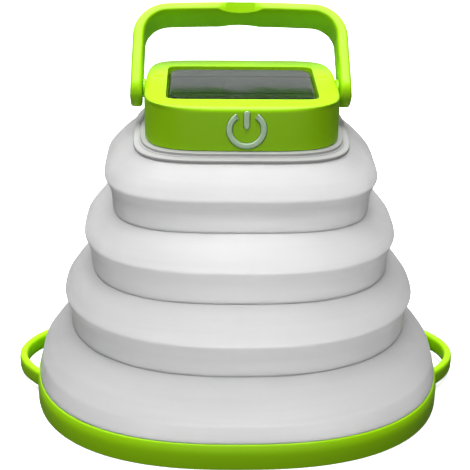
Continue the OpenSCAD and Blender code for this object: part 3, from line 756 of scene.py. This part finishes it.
# %% Key
def make_key():
    back = key_high.y
    plate_front = back - 1.1 * MM
    strokes = symbol_strokes(0.0, plate_front + 0.3 * MM, key_low.y, 7.0)
    centre_x = (key_low.x + key_high.x) / 2
    centre_z = (key_low.z + key_high.z) / 2
    half_x = (key_high.x - key_low.x) / 2
    half_z = (key_high.z - key_low.z) / 2 - 0.25 * MM
    rows = [(plate_front, 0), (plate_front, 1), (back, 1), (back, 0)]
    plate = loft("key plate", [section((centre_x, y, centre_z - 0.2 * MM), (half_x * s, 0, 0),
                                       (0, 0, half_z * s), 6.0) for y, s in rows],
                 key_silicone, around=48)
    return joined("key_pad", strokes + [plate])


key_pad = tidy_mesh(make_key(), 50)
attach(key_pad, "power_key")
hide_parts("power_key")
report(key_pad)

# %% [markdown]
# ## The solar panel's cover
# Clear epoxy is poured over the cells and domes slightly as it sets, falling away in a narrow meniscus at
# its edge. The cells show through it, and the sky reflects in it.

# %% Epoxy cover
def make_cover():
    low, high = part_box("solar_cover")
    a, b = high.x, high.y
    side, front, drop, crown_h = 1.4 * MM, 2.4 * MM, 1.45 * MM, 0.12 * MM
    shoulder = high.z - crown_h - drop
    rows = [(0.0, low.z), (0.0, shoulder)]
    rows += [(1 - math.cos(t), shoulder + drop * math.sin(t))
             for t in map(math.radians, (12, 25, 40, 55, 70, 82))]
    sections = [level(0.1 * MM, 0.1 * MM, low.z, COVER_SQUARE)]
    sections += [level(a - side * share, b - front * share, z, COVER_SQUARE) for share, z in rows]
    crown_steps = 11
    for i in range(crown_steps + 1):
        share = 1 - (i / crown_steps) ** 1.5 * 0.998
        sections.append(level((a - side) * share, (b - front) * share,
                              high.z - crown_h * share ** 2, COVER_SQUARE))
    return loft("epoxy_cover", sections, epoxy, around=256, sharp=60)


epoxy_cover = make_cover()
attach(epoxy_cover, "head")
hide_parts("solar_cover")
report(epoxy_cover)

# %% [markdown]
# ## The handle
# The handle is a flat strap bent into a bail: two legs that draw in a little, round corners, and a slightly
# crowned grip whose strap narrows in the middle. It is a loft along the strap's centreline, where each
# section is the strap's cut: thin across, wide along. It is built upright, and then leans back on its pivot.

# %% The strap's line
STRAP_W = 11 * MM
GRIP_T = 3.2 * MM
LEG_T = 3.6 * MM
HANDLE_HALF = 33.1 * MM
HANDLE_REACH = 27.2 * MM
HANDLE_CORNER = 11 * MM
HANDLE_CROWN = 0.5 * MM
HANDLE_DRAW = 0.5 * MM
TIP_ROUND = 1.7 * MM
WAIST_DEPTH = 1.9 * MM
WAIST_HALF = 7.7 * MM
WAIST_TILT = math.radians(25)
TIP_STEPS, LEG_STEPS, CORNER_STEPS, GRIP_STEPS = 16, 12, 18, 20


def bail_line():
    """Half of the strap's outer line, from a foot to the middle of the grip: (x, z, thickness, width)."""
    half_w = STRAP_W / 2
    shoulder = HANDLE_REACH - HANDLE_CROWN
    inner = HANDLE_HALF - HANDLE_DRAW - HANDLE_CORNER
    leg_top = shoulder - HANDLE_CORNER
    line = []

    def leg_x(z):
        return HANDLE_HALF - HANDLE_DRAW * (z + half_w) / (leg_top + half_w)

    for i in range(TIP_STEPS + 1):
        t = math.pi / 2 * (1 - i / TIP_STEPS)
        z = -half_w * math.sin(t)
        rise = min(1.0, (z + half_w) / TIP_ROUND)
        line.append((leg_x(z), z, LEG_T * math.sqrt(1 - (1 - rise) ** 2), half_w * math.cos(t)))
    for i in range(1, LEG_STEPS + 1):
        z = leg_top * i / LEG_STEPS
        line.append((leg_x(z), z, LEG_T, half_w))
    for i in range(1, CORNER_STEPS + 1):
        t = math.pi / 2 * i / CORNER_STEPS
        thick = LEG_T + (GRIP_T - LEG_T) * (1 - math.cos(2 * t)) / 2
        line.append((inner + HANDLE_CORNER * math.cos(t), leg_top + HANDLE_CORNER * math.sin(t),
                     thick, half_w))
    for i in range(1, GRIP_STEPS + 1):
        share = 1 - i / GRIP_STEPS
        line.append((inner * share, shoulder + HANDLE_CROWN * (1 - share ** 2), GRIP_T, half_w))
    return line


# %% Handle
def make_handle():
    half = bail_line()
    line = half + [(-x, z, thick, width) for x, z, thick, width in reversed(half[:-1])]
    lean = Matrix.Translation(PIVOT) @ Matrix.Rotation(LEAN, 4, "X").inverted()
    turn = lean.to_3x3()
    sections = []
    for i, (x, z, thick, width) in enumerate(line):
        before, after = line[max(i - 1, 0)], line[min(i + 1, len(line) - 1)]
        run = Vector((after[0] - before[0], 0, after[1] - before[1])).normalized()
        if i in (0, len(line) - 1):
            run = Vector((0, 0, 1 if i == 0 else -1))
        outward = Vector((run.z, 0, -run.x))
        full = GRIP_T if abs(x) < 5 * MM else LEG_T
        middle = Vector((x, 0, z)) - outward * max(thick, full if z < 0 else thick) / 2
        sections.append(section(lean @ middle, turn @ (outward * thick / 2),
                                turn @ Vector((0, width, 0)), 5.0))
    strap = loft("strap", sections, green_strap, around=64)
    hollows = []
    radius = (WAIST_HALF ** 2 + WAIST_DEPTH ** 2) / (2 * WAIST_DEPTH)
    for side in (-1, 1):
        axis = Vector((0, side * math.sin(WAIST_TILT), math.cos(WAIST_TILT)))
        away = Vector((0, side * math.cos(WAIST_TILT), -math.sin(WAIST_TILT)))
        middle = Vector((0, side * (STRAP_W / 2 - WAIST_DEPTH), HANDLE_REACH - GRIP_T)) + away * radius
        hollows.append(pin("cutter", lean @ (middle - axis * 9 * MM), lean @ (middle + axis * 9 * MM),
                           radius, None, around=192))
    strap = carved(strap, hollows)
    studs = []
    for side in (-1, 1):
        inner = PIVOT + Vector((side * STUD_END_X, 0, 0))
        outer = PIVOT + Vector((side * (HANDLE_HALF - LEG_T / 2), 0, 0))
        studs.append(pin("stud", outer, inner, STUD_R, green_strap, edge=0.3 * MM))
    return joined("bail_handle", [strap] + studs)


bail_handle = tidy_mesh(make_handle(), 40)
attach(bail_handle, "handle")
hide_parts("handle")
report(bail_handle)

# %% [markdown]
# ## The screws
# Screws repeat, so one screw is made and a second tree places it: the tree takes a mesh whose vertices are
# the places and puts the screw on each.

# %% The placing tree
def make_placing_tree():
    tree, w = new_tree("place on points", [
        ("Places", "NodeSocketGeometry"), ("Item", "NodeSocketObject"),
        ("Material", "NodeSocketMaterial")])
    given = w.add("NodeGroupInput").outputs
    item = w.add("GeometryNodeObjectInfo", {"Object": given["Item"]}).outputs["Geometry"]
    placed = w.add("GeometryNodeInstanceOnPoints", {"Points": given["Places"], "Instance": item})
    real = w.add("GeometryNodeRealizeInstances", {"Geometry": placed.outputs[0]})
    painted = w.add("GeometryNodeSetMaterial",
                    {"Geometry": real.outputs[0], "Material": given["Material"]})
    w.add("NodeGroupOutput", {0: painted.outputs[0]})
    return tree


PLACING_TREE = make_placing_tree()


def placed_on(name, item, places, material):
    mesh = bpy.data.meshes.new(name + " places")
    mesh.from_pydata([Vector(p) for p in places], [], [])
    points = bpy.data.objects.new(name + " places", mesh)
    scene.collection.objects.link(points)
    piece = run_tree(points, PLACING_TREE, {"Item": item, "Material": material}, name)
    bpy.data.objects.remove(item)
    return tidy_mesh(piece, 40)


# %% A pan-head screw that points up, with a cross recess under its head
def make_screw(head_r, head_h, shank_r, length):
    rows = [(0, 0), (head_r - 0.4 * MM, 0), (head_r - 0.12 * MM, 0.12 * MM), (head_r, 0.4 * MM),
            (head_r, head_h), (shank_r, head_h), (shank_r, length - 0.5 * MM),
            (shank_r * 0.5, length), (0, length)]
    screw = loft("screw", [level(r, r, z) for r, z in rows], bright_steel, around=32)
    size, thin, deep = head_r * 0.62, 0.25 * MM, 0.6 * MM
    arms = [box_cutter((-size, -thin, -1 * MM), (size, thin, deep)),
            box_cutter((-thin, -size, -1 * MM), (thin, size, deep))]
    return carved(screw, arms)


screw_low, screw_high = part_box("base_screws")
SCREW_COUNT = 8
SCREW_INSET = 4.4 * MM


def base_places():
    places = []
    a = BASE_A - RING_WALL - SCREW_INSET
    b = BASE_B - RING_WALL - SCREW_INSET
    for i in range(SCREW_COUNT):
        t = math.tau * (i + 0.5) / SCREW_COUNT
        total = abs(math.cos(t) / a) ** BASE_SQUARE + abs(math.sin(t) / b) ** BASE_SQUARE
        r = total ** (-1 / BASE_SQUARE)
        places.append((r * math.cos(t), r * math.sin(t), screw_low.z))
    return places


screw = make_screw(head_r=2.6 * MM, head_h=1.0 * MM, shank_r=1.15 * MM, length=screw_high.z - screw_low.z)
pan_screws = placed_on("pan_screws", screw, base_places(), bright_steel)
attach(pan_screws, "base")
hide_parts("base_screws")
report(pan_screws)

# %% [markdown]
# ## Light, floor and camera
# A large soft light hangs overhead, and a wide panel behind gives the solar panel something to mirror. Two
# weak panels fill from the left and from the table in front, and a wide one in front lights only the shade.
# The floor is pale and only there to stand on.

# %% Floor
def make_floor():
    mesh = bpy.data.meshes.new("floor")
    far = 6.0
    mesh.from_pydata([(-far, -far, 0), (far, -far, 0), (far, far, 0), (-far, far, 0)], [], [(0, 1, 2, 3)])
    floor = bpy.data.objects.new("floor", mesh)
    scene.collection.objects.link(floor)
    mesh.materials.append(finish("pale floor", (0.9, 0.9, 0.9), 0.8, mottle=0.02,
                                 Emission_Color=(1, 1, 1, 1), Emission_Strength=0.7))
    floor.visible_diffuse = False
    floor.visible_glossy = False


make_floor()


# %% Lights
def area_light(name, place, aim, size, watts):
    data = bpy.data.lights.new(name, "AREA")
    data.shape = "RECTANGLE"
    data.size, data.size_y = size
    data.energy = watts
    lamp = bpy.data.objects.new(name, data)
    scene.collection.objects.link(lamp)
    lamp.location = place
    lamp.rotation_euler = (Vector(aim) - Vector(place)).to_track_quat("-Z", "Y").to_euler()
    return lamp


middle = (0, 0, 0.05)
area_light("overhead softbox", (-0.06, 0.0, 1.0), middle, (0.9, 0.7), 21.0)
area_light("left fill", (-1.0, -0.45, 0.35), middle, (0.5, 0.5), 0.8)
area_light("backdrop", (0, 1.9, 0.75), (0, 0, 0.1), (3.2, 1.3), 8.0)
area_light("table bounce", (0, -0.3, 0.01), (0, -0.05, 0.02), (0.3, 0.1), 0.16)

# Frosted silicone passes light on from pleat to pleat, and a fill that reaches only the shade stands for it.
shade_fill = area_light("shade fill", (0.05, -1.0, 0.05), middle, (1.8, 0.4), 21.0)
shade_only = bpy.data.collections.new("lit by the shade fill")
for piece in shade_pieces:
    shade_only.objects.link(piece)
shade_fill.light_linking.receiver_collection = shade_only

# The silicone lets light in all round, and a soft lamp inside the shade stands for what scatters there.
glow_data = bpy.data.lights.new("glow in the shade", "POINT")
glow_data.energy = 0.06
glow_data.shadow_soft_size = 0.02
glow = bpy.data.objects.new("glow in the shade", glow_data)
scene.collection.objects.link(glow)
glow.location = (0, 0, 0.06)

# The room is dim as a light, so that the lamps model the shape, and pale where it is seen.
world = bpy.data.worlds.new("studio")
world.use_nodes = True
AS_LIGHT = 0.09
WHERE_SEEN = 0.85
surround = world.node_tree.nodes["Background"]
surround.inputs["Color"].default_value = (1, 1, 1, 1)
room = TreeWriter(world.node_tree)
seen = room.add("ShaderNodeLightPath").outputs["Is Camera Ray"]
strength = room.math("ADD", room.math("MULTIPLY", seen, WHERE_SEEN), AS_LIGHT)
room.feed(surround.inputs["Strength"], strength)
scene.world = world
scene.view_settings.view_transform = "Standard"

# %% Camera
FRAME_SIDE = 470
SENSOR_MM = 36
FOCAL = 1205.7
DISTANCE = 0.3787
ELEVATION = math.radians(25.03)
AZIMUTH = math.radians(-1.94)
ROLL = math.radians(0.91)
AIM = Vector((0, 0, 0.05))
OFF_X, OFF_Y = 3.92, 4.45


def make_camera():
    back = Vector((math.sin(AZIMUTH) * math.cos(ELEVATION), -math.cos(AZIMUTH) * math.cos(ELEVATION),
                   math.sin(ELEVATION)))
    right = Vector((math.cos(AZIMUTH), math.sin(AZIMUTH), 0))
    up = back.cross(right)
    rolled_right = math.cos(ROLL) * right + math.sin(ROLL) * up
    rolled_up = -math.sin(ROLL) * right + math.cos(ROLL) * up
    data = bpy.data.cameras.new("camera")
    data.sensor_width = SENSOR_MM
    data.lens = FOCAL / FRAME_SIDE * SENSOR_MM
    data.shift_x = -OFF_X / FRAME_SIDE
    data.shift_y = OFF_Y / FRAME_SIDE
    data.clip_start = 0.01
    camera = bpy.data.objects.new("camera", data)
    scene.collection.objects.link(camera)
    turn = Matrix((rolled_right, rolled_up, back)).transposed().to_4x4()
    camera.matrix_world = Matrix.Translation(AIM + DISTANCE * back) @ turn
    scene.camera = camera


make_camera()
